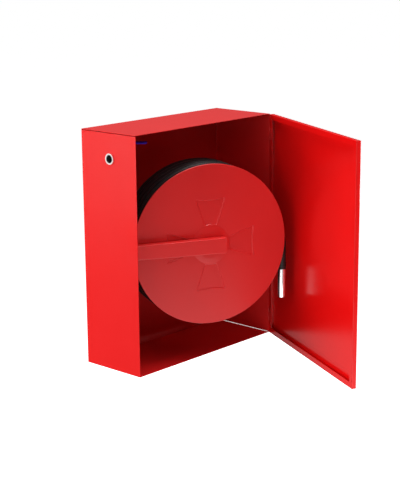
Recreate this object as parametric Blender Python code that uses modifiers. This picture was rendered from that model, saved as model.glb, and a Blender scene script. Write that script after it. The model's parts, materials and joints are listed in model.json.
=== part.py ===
"""Fire hose reel: a wall cabinet with a hinged door, and in it a hose reel on a swing arm.

Metres, +Z up. The origin is the centre of the cabinet's back face, which hangs on the wall. The
cabinet opens towards -Y, its door hinges are at +X, and the reel swings on a vertical pivot at -X.
"""

from math import asin, cos, pi, radians, sin, sqrt, tau

import bmesh
import bpy
from mathutils import Matrix, Vector

# Cabinet and its sheet steel
WIDTH, HEIGHT, DEPTH = 0.625, 0.750, 0.235
SHEET = 0.0015
BEND = 0.003
GAP = 0.0003
SCREW_HOLE = (0.240, 0.180)
SEAM_FRONT, SEAM_BACK, SEAM_HEIGHT = -0.230, -0.030, 0.002

# Door, a folded pan on two hinges
DOOR_OPEN = radians(62.7)
HINGE_X, HINGE_Y = WIDTH / 2 - 0.0018, -DEPTH - 0.0001
HINGE_Z, HINGE_LENGTH = 0.310, 0.040
DOOR_INNER, DOOR_DEPTH, DOOR_LIP = 0.0002, 0.015, 0.018
DOOR_START, DOOR_END, DOOR_HEIGHT = 0.0020, WIDTH - 0.0018, 0.748
KNUCKLE, PIN, PIN_HOLE = 0.0020, 0.0009, 0.0011
LEAF = 0.0012

# Inlet and stop valve
VALVE = Vector((-0.262, -0.125, 0.294))
LEVER_TURN = radians(-45)
LEVER_LENGTH, LEVER_HEIGHT = 0.077, 0.043
INLET_RADIUS, INLET_BORE = 0.020, 0.0115
STEM = 0.0046
BALL = 0.0133

# Swing pivot and arm; the arm's frame has its x along the arm and its y away from the disc's face
PIVOT = Vector((-0.287, -0.187, 0.0))
SWUNG_OUT = radians(26.0)
ARM_LENGTH = 0.2653
ARM_TIP = ARM_LENGTH + 0.044
ARM_END = -0.015
ARM_FRONT, ARM_BACK, ARM_SHEET = -0.012, 0.012, 0.002
ARM_TOP, ARM_BOTTOM_AT_PIVOT, ARM_BOTTOM_AT_HUB = 0.0292, -0.0148, -0.0198
EAR, EAR_END = 0.005, 0.016
BUSH_FLANGE = 0.0014
POST, POST_BORE = 0.0095, 0.0065
POST_BOTTOM, POST_TOP = -0.027, 0.066

# Drum; in the hub's frame z is the depth behind the front disc's face
HUB_Z = 0.0047
DISC_FRONT = 0.018
DISC_RADIUS, BACK_DISC_RADIUS = 0.256, 0.250
DRUM_DEPTH = 0.142
RIM = 0.002
AXLE, AXLE_THREAD, AXLE_END = 0.014, 0.010, 0.157
HUB_TUBE, HUB_BORE = 0.024, 0.019
CORE_RADIUS = 0.1195
PORT = 0.0055
OUTLET_DEPTH = 0.108
TIE_RADIUS, TIE_ROD = 0.105, 0.003
CROSS_INNER, CROSS_OUTER, CROSS_DEPTH = 0.065, 0.154, 0.003
CROSS_HALF_INNER, CROSS_HALF_OUTER, CROSS_DISH = 0.0195, 0.048, 0.0053

# Hose: five turns in each of five layers, and the last turn runs on into the tail
HOSE = 0.0135
TURN_PITCH = 0.0274
OUTER_TURN = 0.2422
TAIL_DEPTH = 0.0181
GROOVE_FLOOR = 0.2275
LAST_TURN_START, LAST_TURN_END = radians(-55), radians(-335)
TAIL_X = 0.254
TAIL_ROUTE = [(0.2318, 0.0729), (0.2415, 0.0422), (0.2484, 0.0109), (0.2526, -0.0209),
              (TAIL_X, -0.0530), (TAIL_X, -0.0760), (TAIL_X, -0.0980)]

# Nozzle, heights above the cabinet's centre
NOZZLE_TOP, SLEEVE_TOP, NOZZLE_END = -0.1032, -0.1250, -0.1970
NOZZLE_CORE, NOZZLE_BORE = 0.009, 0.006

FINE, COARSE = 64, 20

for old in list(bpy.data.objects):
    bpy.data.objects.remove(old)
PARTS = bpy.data.collections.new("fire_hose_reel")
CUTTERS = bpy.data.collections.new("cutters")
for group in (PARTS, CUTTERS):
    bpy.context.scene.collection.children.link(group)


# Materials

def finish(name, colour, roughness, metallic=0.0):
    material = bpy.data.materials.new(name)
    material.use_nodes = True
    shader = material.node_tree.nodes["Principled BSDF"]
    shader.inputs["Base Color"].default_value = (*colour, 1.0)
    shader.inputs["Roughness"].default_value = roughness
    shader.inputs["Metallic"].default_value = metallic
    return material


RED = finish("red_powder_coat", (0.78, 0.02, 0.02), 0.4)
RED_DRUM = finish("red_drum_coat", (0.52, 0.02, 0.02), 0.4)
RUBBER = finish("black_rubber", (0.02, 0.022, 0.022), 0.6)
CHROME = finish("chrome", (0.85, 0.85, 0.86), 0.08, 1.0)
BRASS = finish("brass", (0.72, 0.52, 0.22), 0.3, 1.0)
STEEL = finish("zinc_steel", (0.62, 0.63, 0.65), 0.35, 1.0)
BLUE = finish("blue_plastic", (0.01, 0.01, 0.16), 0.45)
BRONZE = finish("bronze_bush", (0.45, 0.30, 0.14), 0.4, 1.0)
BLACK = finish("black_plastic", (0.02, 0.02, 0.02), 0.5)
NICKEL = finish("nickel_plate", (0.80, 0.80, 0.78), 0.25, 1.0)


# Modelling helpers

def place(name, data, material, frame=None, at=(0, 0, 0), turn=(0, 0, 0)):
    """An object in its frame, or a cutter where it has no material."""
    obj = bpy.data.objects.new(name, data)
    obj.location = at
    obj.rotation_euler = turn
    obj.parent = frame
    if material:
        data.materials.append(material)
        PARTS.objects.link(obj)
    else:
        CUTTERS.objects.link(obj)
        obj.hide_render = True
        obj.display_type = "WIRE"
    return obj


def axis(name, at, turn=(0, 0, 0), frame=None):
    empty = bpy.data.objects.new(name, None)
    empty.location = at
    empty.rotation_euler = turn
    empty.parent = frame
    PARTS.objects.link(empty)
    return empty


def smooth_round(mesh):
    mesh.shade_smooth()
    mesh.set_sharp_from_angle(angle=radians(35))


def as_mesh(obj):
    """The object as a mesh with its modifiers applied and its caps welded on."""
    bpy.context.view_layer.update()
    graph = bpy.context.evaluated_depsgraph_get()
    mesh = bpy.data.meshes.new_from_object(obj.evaluated_get(graph))
    shape = bmesh.new()
    shape.from_mesh(mesh)
    bmesh.ops.remove_doubles(shape, verts=shape.verts, dist=1e-6)
    shape.to_mesh(mesh)
    shape.free()
    smooth_round(mesh)
    solid = bpy.data.objects.new(obj.name, mesh)
    solid.parent = obj.parent
    solid.matrix_basis = obj.matrix_basis
    solid.hide_render = obj.hide_render
    solid.display_type = obj.display_type
    for holder in obj.users_collection:
        holder.objects.link(solid)
    name = obj.name
    bpy.data.objects.remove(obj)
    solid.name = name
    return solid


def box(name, low, high, material=None, frame=None):
    """A box between two corners, with its origin at the frame's own."""
    low, high = Vector(low), Vector(high)
    mesh = bpy.data.meshes.new(name)
    shape = bmesh.new()
    bmesh.ops.create_cube(shape, size=1)
    bmesh.ops.scale(shape, vec=high - low, verts=shape.verts)
    bmesh.ops.translate(shape, vec=(low + high) / 2, verts=shape.verts)
    shape.to_mesh(mesh)
    shape.free()
    return place(name, mesh, material, frame)


def rod(name, radius, start, end, material=None, frame=None, at=(0, 0, 0), turn=(0, 0, 0), sides=COARSE):
    """A cylinder along its own z, from start to end."""
    mesh = bpy.data.meshes.new(name)
    shape = bmesh.new()
    bmesh.ops.create_cone(shape, cap_ends=True, segments=sides, radius1=radius, radius2=radius,
                          depth=end - start)
    bmesh.ops.translate(shape, vec=(0, 0, (start + end) / 2), verts=shape.verts)
    shape.to_mesh(mesh)
    shape.free()
    smooth_round(mesh)
    return place(name, mesh, material, frame, at, turn)


def ball(name, radius, material, at, frame=None):
    mesh = bpy.data.meshes.new(name)
    shape = bmesh.new()
    bmesh.ops.create_uvsphere(shape, u_segments=16, v_segments=10, radius=radius)
    shape.to_mesh(mesh)
    shape.free()
    smooth_round(mesh)
    return place(name, mesh, material, frame, at)


def turned(name, profile, material=None, frame=None, at=(0, 0, 0), turn=(0, 0, 0), steps=COARSE):
    """A ring turned about its own z; the closed profile of (radius, z) runs down its outer side."""
    mesh = bpy.data.meshes.new(name)
    count = len(profile)
    edges = [(i, (i + 1) % count) for i in range(count)]
    mesh.from_pydata([(r, 0, z) for r, z in profile], edges, [])
    obj = place(name, mesh, material, frame, at, turn)
    screw = obj.modifiers.new("turn", "SCREW")
    screw.steps = steps
    screw.render_steps = steps
    screw.use_merge_vertices = True
    screw.merge_threshold = 0.0001
    return as_mesh(obj)


def ring(name, inner, outer, low, high, material=None, frame=None, **where):
    profile = [(outer, high), (outer, low), (inner, low), (inner, high)]
    return turned(name, profile, material, frame, **where)


def plate(name, outlines, low, high, material=None, frame=None, at=(0, 0, 0), turn=(0, 0, 0)):
    """A flat outline in its own x and y, with any holes, from low to high along its z."""
    curve = bpy.data.curves.new(name, "CURVE")
    curve.dimensions = "2D"
    curve.fill_mode = "BOTH"
    curve.extrude = (high - low) / 2
    for outline in outlines:
        spline = curve.splines.new("POLY")
        spline.points.add(len(outline) - 1)
        for point, (x, y) in zip(spline.points, outline):
            point.co = (x, y, 0, 1)
        spline.use_cyclic_u = True
    solid = as_mesh(place(name, curve, material, frame, at, turn))
    solid.data.transform(Matrix.Translation((0, 0, (low + high) / 2)))
    return solid


def tube(name, points, radius, material, frame=None):
    curve = bpy.data.curves.new(name, "CURVE")
    curve.dimensions = "3D"
    curve.bevel_depth = radius
    curve.bevel_resolution = 2
    curve.use_fill_caps = True
    spline = curve.splines.new("POLY")
    spline.points.add(len(points) - 1)
    for point, co in zip(spline.points, points):
        point.co = (*co, 1)
    return place(name, curve, material, frame)


def boolean(obj, other, operation):
    modifier = obj.modifiers.new(operation.lower(), "BOOLEAN")
    modifier.operation = operation
    modifier.object = other
    return obj


def cut(obj, *cutters):
    for cutter in cutters:
        boolean(obj, cutter, "DIFFERENCE")
    return obj


def join(obj, *others):
    for other in others:
        boolean(obj, other, "UNION")
    return obj


def arc(centre, radius, start, end, steps):
    return [(centre[0] + radius * cos(start + (end - start) * i / steps),
             centre[1] + radius * sin(start + (end - start) * i / steps)) for i in range(steps + 1)]


def circle(radius, sides=COARSE, centre=(0, 0)):
    return arc(centre, radius, 0, tau, sides)[:-1]


def rounded_box(left, bottom, right, top, radius, steps=3):
    corners = [(right - radius, bottom + radius, -90), (right - radius, top - radius, 0),
               (left + radius, top - radius, 90), (left + radius, bottom + radius, 180)]
    outline = []
    for x, y, start in corners:
        outline += arc((x, y), radius, radians(start), radians(start + 90), steps)
    return outline


def smooth_route(points, spacing):
    """Points along a Catmull-Rom curve through the route's own points."""
    points = [Vector(p) for p in points]
    ends = [points[0] * 2 - points[1], *points, points[-1] * 2 - points[-2]]
    route = []
    for before, start, end, after in zip(ends, ends[1:], ends[2:], ends[3:]):
        steps = max(1, round((end - start).length / spacing))
        for i in range(steps):
            t = i / steps
            route.append(0.5 * (2 * start + (end - before) * t
                                + (2 * before - 5 * start + 4 * end - after) * t ** 2
                                + (3 * start - before - 3 * end + after) * t ** 3))
    return route + [points[-1]]


# Cabinet

def cabinet():
    half, inner = WIDTH / 2, WIDTH / 2 - SHEET
    wall = HEIGHT / 2 - SHEET - GAP
    outline = [(-half, -DEPTH), *arc((-half + BEND, -BEND), BEND, pi, pi / 2, 4)]
    outline += [*arc((half - BEND, -BEND), BEND, pi / 2, 0, 4), (half, -DEPTH), (inner, -DEPTH)]
    outline += arc((half - BEND, -BEND), BEND - SHEET, 0, pi / 2, 2)
    outline += [*arc((BEND - half, -BEND), BEND - SHEET, pi / 2, pi, 2), (-inner, -DEPTH)]
    body = plate("cabinet_body", [outline], -wall, wall, RED)
    seam = box("drain_seam", (inner - 0.002, SEAM_FRONT, -wall - 0.001),
               (half + 0.002, SEAM_BACK, -wall + SEAM_HEIGHT))
    inlet = rod("inlet_hole", 0.0139, -0.01, 0.01, at=(-half, VALVE.y, VALVE.z), turn=(0, pi / 2, 0))
    cut(body, seam, inlet)
    for x in (-SCREW_HOLE[0], SCREW_HOLE[0]):
        for z in (-SCREW_HOLE[1], SCREW_HOLE[1]):
            cut(body, rod("wall_screw_hole", 0.004, -0.01, 0.01, at=(x, 0, z), turn=(pi / 2, 0, 0), sides=12))
    for z in (-HINGE_Z, HINGE_Z):
        cut(body, rod("hinge_relief", KNUCKLE + 0.0005, -0.023, 0.023, at=(HINGE_X, HINGE_Y, z)))
    flat = [(-half, -DEPTH), (half, -DEPTH), (half, 0), (-half, 0)]
    plate("top_panel", [flat], HEIGHT / 2 - SHEET, HEIGHT / 2, RED)
    plate("bottom_panel", [flat], -HEIGHT / 2, -HEIGHT / 2 + SHEET, RED)


# Door and hinges

def door(hinge_axis):
    end = DOOR_END
    outer, inner = DOOR_INNER + DOOR_DEPTH, DOOR_INNER + SHEET
    top = DOOR_HEIGHT / 2
    panel = box("door_panel", (DOOR_START, DOOR_INNER, -top), (end, outer, top), RED, hinge_axis)
    hollow = box("door_hollow", (DOOR_START + SHEET, inner, -top + SHEET),
                 (end - SHEET, outer - SHEET, top - SHEET), None, hinge_axis)
    opening = box("door_opening", (DOOR_START + DOOR_LIP, -0.01, -top + DOOR_LIP),
                  (end - DOOR_LIP, inner + 0.001, top - DOOR_LIP), None, hinge_axis)
    cut(panel, hollow, opening)
    for z in (-HINGE_Z, HINGE_Z):
        cut(panel, rod("knuckle_relief", KNUCKLE + 0.0005, -0.023, 0.023, None, hinge_axis, (0, 0, z)))


def hinge(end_name, z, hinge_axis):
    half, third = HINGE_LENGTH / 2, HINGE_LENGTH / 6
    hole = circle(PIN_HOLE, 12)
    leaf_end = 0.018
    around = arc((0, 0), KNUCKLE, pi / 2 + asin(LEAF / KNUCKLE), tau + pi / 2, 16)
    fixed_outline = [(-LEAF, leaf_end), *around, (0, leaf_end)]
    fixed = plate("hinge_leaf_fixed_" + end_name, [fixed_outline, hole], -half, half, RED,
                  at=(HINGE_X, HINGE_Y, z))
    cut(fixed, box("knuckle_gap", (HINGE_X - 0.004, HINGE_Y - 0.004, z - third - 0.0002),
                   (HINGE_X + 0.004, HINGE_Y + KNUCKLE + 0.0002, z + third + 0.0002)))
    low, high = -0.0013, -0.0001
    around = arc((0, 0), KNUCKLE, asin(high / KNUCKLE), tau + asin(low / KNUCKLE), 14)
    door_outline = [(0.022, low), (0.022, high), *around]
    leaf = plate("hinge_leaf_door_" + end_name, [door_outline, hole], -half, half, RED, hinge_axis,
                 (0, 0, z))
    for side in (-1, 1):
        ends = sorted((z + side * (third - 0.0002), z + side * (half + 0.001)))
        cut(leaf, box("knuckle_end", (-0.004, -0.004, ends[0]), (0.0045, 0.004, ends[1]), None, hinge_axis))
    rod("hinge_pin_" + end_name, PIN, -half - 0.001, half + 0.001, RED, at=(HINGE_X, HINGE_Y, z), sides=12)


# Inlet, stop valve and feed hose

def inlet_and_valve():
    face = -WIDTH / 2
    along_x = (0, pi / 2, 0)
    on_pipe = axis("inlet_axis", (0, VALVE.y, VALVE.z), along_x)
    flange = face - 0.0045
    turned("inlet_nipple", [(0.0135, -0.2945), (0.0135, face - GAP), (INLET_RADIUS, face - GAP),
                            (INLET_RADIUS, flange + 0.001), (INLET_RADIUS - 0.001, flange),
                            (INLET_BORE, flange), (INLET_BORE, -0.2945)], NICKEL, on_pipe, steps=32)
    plate("inlet_locknut", [circle(0.022, 6), circle(0.0139, 16)], face + SHEET + GAP, face + 0.009,
          BRASS, on_pipe)
    body = rod("valve_body", 0.015, -0.2942, -0.240, BRASS, on_pipe)
    waist = rod("valve_waist", 0.0195, VALVE.x - 0.017, VALVE.x + 0.017, None, on_pipe)
    boss = rod("valve_boss", 0.010, 0, 0.030, at=VALVE)
    ways = rod("valve_ways", 0.0085, -0.30, -0.23, None, on_pipe)
    seat = ball("valve_chamber", BALL + 0.0003, None, VALVE)
    stem_hole = rod("stem_hole", STEM + GAP, 0, 0.04, at=VALVE)
    cut(join(body, waist, boss), ways, seat, stem_hole)
    hexagon = [circle(0.0095, 6), circle(STEM + GAP, 16)]
    plate("packing_nut", hexagon, 0.0303, 0.036, BRASS, at=VALVE)


def valve_turning_group():
    lever_axis = axis("lever_axis", VALVE, (0, 0, LEVER_TURN))
    tang = 0.0015
    sphere = ball("valve_ball", BALL, CHROME, (0, 0, 0), lever_axis)
    cut(sphere, rod("ball_way", 0.0085, -0.02, 0.02, None, lever_axis, turn=(0, pi / 2, 0)),
        box("ball_slot", (-0.004, -tang - GAP, 0.0098), (0.004, tang + GAP, 0.02), None, lever_axis))
    stem = rod("valve_stem", STEM, BALL + 0.0005, LEVER_HEIGHT + 0.009, STEEL, lever_axis)
    join(stem, box("stem_tang", (-0.0035, -tang, 0.0101), (0.0035, tang, BALL + 0.001), None, lever_axis))
    low, high = LEVER_HEIGHT - 0.0016, LEVER_HEIGHT + 0.0016
    neck, tail = 0.011, 0.0065
    outline = arc((0, 0), neck, asin(tail / neck), tau - asin(tail / neck), 12)
    outline += rounded_box(0.03, -tail, LEVER_LENGTH - 0.004, tail, 0.004)[:8]
    plate("valve_lever", [outline, circle(STEM + GAP, 16)], low, high, STEEL, lever_axis)
    grip = plate("lever_grip", [rounded_box(0.026, -0.0095, LEVER_LENGTH, 0.0095, 0.006)],
                 LEVER_HEIGHT - 0.0045, LEVER_HEIGHT + 0.0045, BLUE, lever_axis)
    cut(grip, box("grip_slot", (0.02, -tail - GAP, low - GAP),
                  (LEVER_LENGTH - 0.0035, tail + GAP, high + GAP), None, lever_axis))
    nut = [circle(0.008, 6), circle(STEM + GAP, 16)]
    plate("lever_nut", nut, high + GAP, high + 0.006, STEEL, lever_axis)


def feed_line():
    bend, drop_x = 0.012, -0.221
    start, foot = -0.2397, 0.268
    elbow = [(start, VALVE.z)]
    elbow += arc((drop_x - bend, VALVE.z - bend), bend, pi / 2, 0, 4)
    elbow += [(drop_x, foot)]
    tube("valve_outlet_elbow", [(x, VALVE.y, z) for x, z in elbow], 0.010, BRASS)
    upper = [circle(0.0135, 6), circle(0.0103, 16)]
    plate("feed_nut_upper", upper, foot - 0.020, foot + 0.008, BRASS, at=(drop_x, VALVE.y, 0))
    neck_top = 0.0923
    route = [(PIVOT.x, PIVOT.y, neck_top + GAP), (PIVOT.x, PIVOT.y, 0.115),
             (PIVOT.x + 0.012, PIVOT.y + 0.011, 0.150), (PIVOT.x + 0.040, PIVOT.y + 0.038, 0.188),
             (drop_x - 0.008, VALVE.y - 0.008, 0.222),
             (drop_x, VALVE.y, 0.250), (drop_x, VALVE.y, foot - GAP)]
    tube("feed_hose", smooth_route(route, 0.02), 0.009, STEEL)
    lower = [circle(0.0135, 6), circle(0.0093, 16)]
    plate("feed_nut_lower", lower, neck_top - 0.009, neck_top + 0.014, BRASS, at=PIVOT)


# Pivot on the left wall

def pivot_bracket():
    back = -WIDTH / 2 + SHEET + GAP
    ears = {"upper": ARM_TOP + 0.002, "lower": ARM_BOTTOM_AT_PIVOT - 0.002 - EAR}
    bracket = box("wall_bracket", (back, PIVOT.y - 0.028, -0.045),
                  (back + 0.003, PIVOT.y + 0.028, 0.060), RED)
    for name, low in ears.items():
        outline = [(back + 0.001, PIVOT.y - EAR_END), *arc(PIVOT, EAR_END, -pi / 2, pi / 2, 10),
                   (back + 0.001, PIVOT.y + EAR_END)]
        join(bracket, plate(name + "_ear", [outline, circle(0.0128, COARSE, PIVOT)], low, low + EAR))
    bore, sleeve, flange = POST + GAP, 0.0125, 0.0155
    low = ARM_TOP + GAP
    turned("pivot_bush_upper", [(sleeve, ears["upper"] + EAR), (sleeve, low + BUSH_FLANGE),
                                (flange, low + BUSH_FLANGE), (flange, low), (bore, low),
                                (bore, ears["upper"] + EAR)], BRONZE, at=PIVOT)
    high = ARM_BOTTOM_AT_PIVOT - GAP
    turned("pivot_bush_lower", [(flange, high), (flange, high - BUSH_FLANGE), (sleeve, high - BUSH_FLANGE),
                                (sleeve, ears["lower"]), (bore, ears["lower"]), (bore, high)],
           BRONZE, at=PIVOT)
    base, crown, neck = ears["upper"] + EAR + GAP, 0.070, 0.009
    seal_low, seal_high, seal_outer = 0.050, 0.054, 0.012
    turned("swivel_body", [(neck, 0.0923), (neck, crown + 0.004), (EAR_END, crown - 0.003), (EAR_END, base),
                           (bore, base), (bore, seal_low - GAP), (seal_outer + GAP, seal_low - GAP),
                           (seal_outer + GAP, seal_high + GAP), (bore, seal_high + GAP),
                           (bore, POST_TOP + GAP), (0.006, POST_TOP + GAP), (0.006, 0.0923)],
           BRASS, at=PIVOT)
    ring("swivel_seal", bore, seal_outer, seal_low, seal_high, RUBBER, at=PIVOT)


# Swing arm

def swing_arm(swing_axis):
    slope = (ARM_BOTTOM_AT_HUB - ARM_BOTTOM_AT_PIVOT) / ARM_LENGTH

    def outline(inset, radius):
        left, right, top = ARM_END + inset, ARM_TIP - inset, ARM_TOP - inset
        foot_left = ARM_BOTTOM_AT_PIVOT + slope * left + inset
        foot_right = ARM_BOTTOM_AT_PIVOT + slope * right + inset
        points = arc((right - radius, foot_right + radius), radius, -pi / 2, 0, 3)
        points += arc((right - radius, top - radius), radius, 0, pi / 2, 3)
        points += arc((left + radius, top - radius), radius, pi / 2, pi, 3)
        points += arc((left + radius, foot_left + radius), radius, pi, 3 * pi / 2, 3)
        return points

    upright = (pi / 2, 0, 0)
    arm = plate("swing_arm", [outline(0, 0.005)], -ARM_BACK, -ARM_FRONT, RED_DRUM, swing_axis, turn=upright)
    pocket = plate("arm_pocket", [outline(ARM_SHEET, 0.003)], -ARM_BACK - 0.002, -ARM_FRONT - ARM_SHEET,
                   None, swing_axis, turn=upright)
    cut(arm, pocket, rod("post_hole", POST + GAP, -0.04, 0.05, None, swing_axis))
    post = ring("pivot_post", POST_BORE, POST, POST_BOTTOM, POST_TOP, STEEL, swing_axis)
    cut(post, rod("post_port", PORT, 0, 0.02, None, swing_axis, (0, 0, HUB_Z), (0, pi / 2, 0), 12))
    plug = rod("post_plug", POST_BORE - GAP, POST_BOTTOM - 0.001, POST_BOTTOM + 0.008, BRASS, swing_axis)
    join(plug, plate("plug_head", [circle(0.011, 6)], POST_BOTTOM - 0.004, POST_BOTTOM - GAP,
                     None, swing_axis))
    ring("arm_pipe", PORT, 0.0075, POST + GAP, ARM_LENGTH - AXLE - GAP, STEEL, swing_axis,
         at=(0, 0, HUB_Z), turn=(0, pi / 2, 0))


def hub_axle(hub_axis):
    web = ARM_FRONT + ARM_SHEET - DISC_FRONT + GAP
    shoulder = DRUM_DEPTH + 0.0018
    axle = rod("hub_axle", AXLE, web + 0.001, shoulder, STEEL, hub_axis, sides=24)
    join(axle, rod("axle_flange", 0.018, web, web + 0.0015, None, hub_axis, sides=24),
         rod("axle_thread", AXLE_THREAD, shoulder - 0.002, AXLE_END, None, hub_axis))
    cut(axle, rod("axle_bore", PORT, -DISC_FRONT - PORT, OUTLET_DEPTH + PORT, None, hub_axis, sides=16),
        rod("axle_inlet", PORT, -0.03, 0, None, hub_axis, (0, 0, -DISC_FRONT), (0, pi / 2, 0), 12),
        rod("axle_outlet", PORT, -0.03, 0.03, None, hub_axis, (0, 0, OUTLET_DEPTH), (0, pi / 2, 0), 12))
    seat = shoulder + 0.0001
    ring("axle_washer", AXLE_THREAD + GAP, 0.024, seat, seat + 0.002, STEEL, hub_axis)
    spring = seat + 0.002 + GAP
    turned("brake_spring", [(0.016, spring + 0.0024), (0.0205, spring + 0.0012), (0.0205, spring),
                            (AXLE_THREAD + GAP, spring + 0.0012), (AXLE_THREAD + GAP, spring + 0.0024)],
           STEEL, hub_axis)
    nut = spring + 0.0024 + GAP
    plate("axle_nut", [circle(0.015, 6), circle(AXLE_THREAD + GAP, 16)], nut, nut + 0.007, STEEL, hub_axis)


# Drum

def cross_wedge(angle, grow):
    """One of the four pressed wedges: straight flared sides, a round inner end and a dished outer end."""
    half_in, half_out = CROSS_HALF_INNER + grow, CROSS_HALF_OUTER + grow
    near, far = CROSS_INNER - grow, CROSS_OUTER + grow
    corner = sqrt(far ** 2 - half_out ** 2)
    dish = (half_out ** 2 + CROSS_DISH ** 2) / (2 * CROSS_DISH)
    spread = asin(half_out / dish)
    open_angle = asin(half_in / near)
    points = arc((0, 0), near, -open_angle, open_angle, 6)
    points += arc((corner - CROSS_DISH + dish, 0), dish, pi - spread, pi + spread, 8)
    return [(x * cos(angle) - y * sin(angle), x * sin(angle) + y * cos(angle)) for x, y in points]


def rimmed_disc(name, radius, hole, front, hub_axis, material):
    """A sheet disc with its edge rolled over to the back."""
    centre = radius - RIM
    rim = [(centre + RIM * cos(a), front + RIM + RIM * sin(a)) for a in (pi / 2, pi / 4, 0, -pi / 4, -pi / 2)]
    profile = rim + [(hole, front), (hole, front + SHEET), (centre - RIM * 0.9, front + SHEET)]
    return turned(name, profile, material, hub_axis, steps=FINE)


def drum(hub_axis):
    disc = rimmed_disc("front_disc", DISC_RADIUS, 0.020, 0, hub_axis, RED_DRUM)
    angles = [i * pi / 2 for i in range(4)]
    pans = plate("cross_pans", [cross_wedge(a, SHEET) for a in angles], 0.0005, CROSS_DEPTH + SHEET,
                 None, hub_axis)
    recess = plate("cross_recess", [cross_wedge(a, 0) for a in angles], -0.002, CROSS_DEPTH, None, hub_axis)
    cut(join(disc, pans), recess)
    turned("hub_flange", [(0.062, -GAP), (0.062, -0.0028), (0.0605, -0.0043), (AXLE + 0.0005, -0.0043),
                          (AXLE + 0.0005, -GAP)], RED_DRUM, hub_axis, steps=40)
    back_front = DRUM_DEPTH + 0.0001
    back = rimmed_disc("back_disc", BACK_DISC_RADIUS, AXLE + 0.0006, back_front, hub_axis, RED_DRUM)
    inside, outside = SHEET + GAP, DRUM_DEPTH - 0.0002
    layers = CROSS_DEPTH + SHEET + GAP
    core = ring("drum_core", CORE_RADIUS - SHEET, CORE_RADIUS, layers, outside, STEEL, hub_axis, steps=48)
    collar = 0.045
    tube_profile = [(collar, outside), (collar, outside - 0.0025), (HUB_TUBE, outside - 0.0025),
                    (HUB_TUBE, inside + 0.0025), (collar, inside + 0.0025), (collar, inside),
                    (HUB_BORE, inside), (HUB_BORE, outside)]
    hub = turned("hub_tube", tube_profile, STEEL, hub_axis, steps=24)
    for name, start in (("front", 0.004), ("rear", 0.122)):
        ring("hub_bush_" + name, AXLE + GAP, HUB_BORE - GAP, start, start + 0.016, BRONZE, hub_axis)
    sideways = {"at": (0, 0, OUTLET_DEPTH), "turn": (0, -pi / 2, 0)}
    ring("outlet_pipe", PORT, 0.008, HUB_BORE + 0.0005, CORE_RADIUS - 0.0002, BRASS, hub_axis, **sideways)
    cut(hub, rod("hub_port", 0.0083, 0, 0.04, None, hub_axis, **sideways))
    cut(core, rod("core_port", 0.0083, 0.1, 0.14, None, hub_axis, **sideways))
    nut_front = back_front + SHEET + GAP
    for number, angle in enumerate(angles, 1):
        x = TIE_RADIUS * cos(angle + pi / 4)
        y = TIE_RADIUS * sin(angle + pi / 4)
        rod(f"tie_rod_{number}", TIE_ROD, inside, DRUM_DEPTH + 0.010, STEEL, hub_axis, (x, y, 0), sides=12)
        cut(back, rod("tie_hole", TIE_ROD + GAP, DRUM_DEPTH - 0.002, DRUM_DEPTH + 0.005, None, hub_axis,
                      (x, y, 0), sides=12))
        plate(f"tie_nut_{number}", [circle(0.0058, 6), circle(TIE_ROD + GAP, 12)], nut_front,
              nut_front + 0.005, STEEL, hub_axis, (x, y, 0))


# Hose and nozzle

def hose(hub_axis):
    front, back = CROSS_DEPTH + SHEET + GAP, DRUM_DEPTH - 0.0002
    slot = TAIL_DEPTH + TURN_PITCH / 2 + 0.0004
    full = OUTER_TURN + HOSE
    profile = [(full, back), (full, slot), (GROOVE_FLOOR, slot), (GROOVE_FLOOR, front),
               (CORE_RADIUS + GAP, front), (CORE_RADIUS + GAP, back)]
    turned("hose_coil", profile, RUBBER, hub_axis, steps=FINE)
    turn = arc((0, 0), OUTER_TURN, LAST_TURN_START, LAST_TURN_END, 28)
    flat_route = smooth_route([(*turn[-2], 0), (*turn[-1], 0), *[(x, z, 0) for x, z in TAIL_ROUTE]], 0.03)
    free = [p for p in flat_route if p.y < turn[-1][1] + 1e-6 and p.x > turn[-2][0]]
    route = turn[:-1] + [(p.x, p.y) for p in free]
    tube("hose_tail", [(x, -z, TAIL_DEPTH) for x, z in route], HOSE, RUBBER, hub_axis)


def nozzle(nozzle_axis):
    hose_end = HUB_Z + TAIL_ROUTE[-1][1]
    ring("hose_ferrule", NOZZLE_BORE, HOSE, NOZZLE_TOP + GAP, hose_end - GAP, BLACK, nozzle_axis, steps=24)
    seat = NOZZLE_END + 0.0087
    turned("nozzle_body", [(HOSE, NOZZLE_TOP), (HOSE, SLEEVE_TOP), (NOZZLE_CORE, SLEEVE_TOP),
                           (NOZZLE_CORE, seat), (NOZZLE_BORE, seat), (NOZZLE_BORE, NOZZLE_TOP)],
           CHROME, nozzle_axis, steps=24)
    bore = NOZZLE_CORE + GAP
    turned("nozzle_sleeve", [(HOSE, SLEEVE_TOP - GAP), (HOSE, NOZZLE_END + 0.001), (HOSE - 0.001, NOZZLE_END),
                             (NOZZLE_BORE, NOZZLE_END), (NOZZLE_BORE, seat - GAP), (bore, seat - GAP),
                             (bore, SLEEVE_TOP - GAP)], CHROME, nozzle_axis, steps=24)


cabinet()
door_axis = axis("door_hinge_axis", (HINGE_X, HINGE_Y, 0), (0, 0, pi + DOOR_OPEN))
door(door_axis)
hinge("upper", HINGE_Z, door_axis)
hinge("lower", -HINGE_Z, door_axis)
inlet_and_valve()
valve_turning_group()
feed_line()
pivot_bracket()
swing = axis("swing_axis", PIVOT, (0, 0, -SWUNG_OUT))
hub_centre = axis("hub_axis", (ARM_LENGTH, DISC_FRONT, HUB_Z), (-pi / 2, 0, 0), swing)
swing_arm(swing)
hub_axle(hub_centre)
drum(hub_centre)
hose(hub_centre)
nozzle(axis("nozzle_axis", (ARM_LENGTH + TAIL_X, DISC_FRONT + TAIL_DEPTH, 0), (0, 0, 0), swing))
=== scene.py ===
import json
from math import asin, cos, hypot, pi, radians, sin, sqrt, tau

import bmesh
import bpy
import numpy as np
from mathutils import Matrix, Vector

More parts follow.
